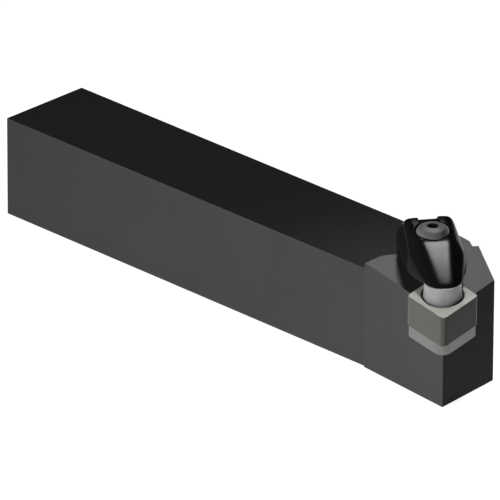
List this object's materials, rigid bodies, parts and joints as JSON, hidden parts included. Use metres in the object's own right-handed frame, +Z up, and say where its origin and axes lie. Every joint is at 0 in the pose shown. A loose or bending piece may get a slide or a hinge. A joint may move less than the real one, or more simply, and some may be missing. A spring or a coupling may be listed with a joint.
{
  "type": "turning tool holder",
  "caption": "Square-shank holder for turning on a lathe, with a diamond-shaped insert seated on a shim at its raked head and held by a black top clamp with a screw.",
  "frame": {"origin": "middle of the shank's bottom face at its back end, where the shank meets the tool block's floor", "axes": "+X along the shank from its back to the cutting tip, +Z up to the insert, the cutting side of the head faces -Y"},
  "size_m": [0.15, 0.032, 0.0382],
  "materials": {
    "holder_body": "dark oxidised satin steel",
    "insert": "matte light grey sintered insert, ground edges",
    "shim": "satin grey sintered carbide",
    "shim_screw": "dark oxidised steel",
    "clamp": "glossy black oxidised steel",
    "pressure_pad": "satin grey sintered carbide",
    "clamp_screw": "satin dark steel",
    "clamp_spring": "bright spring steel wire"
  },
  "bodies": {
    "holder": {"holder_body": "holder_body", "shim": "shim", "shim_screw": "shim_screw", "insert": "insert"},
    "clamp": {"clamp": "clamp", "pressure_pad": "pressure_pad", "clamp_spring": "clamp_spring"},
    "screw": {"clamp_screw": "clamp_screw"}
  },
  "joints": [
    {"name": "clamp_lift", "type": "slide", "parent": "holder", "child": "clamp", "axis": [0, 0, 1], "range_m": [0, 0.0021], "deforming": ["clamp_spring"]},
    {"name": "screw_turn", "type": "hinge", "parent": "clamp", "child": "screw", "pos_m": [0.13245, -0.00489, 0.03], "axis": [0, 0, 1], "range_deg": [0, 1080]}
  ],
  "couplings": [
    {"joint": "screw_turn", "follows": "clamp_lift", "rad_per_m": 8975.9}
  ]
}
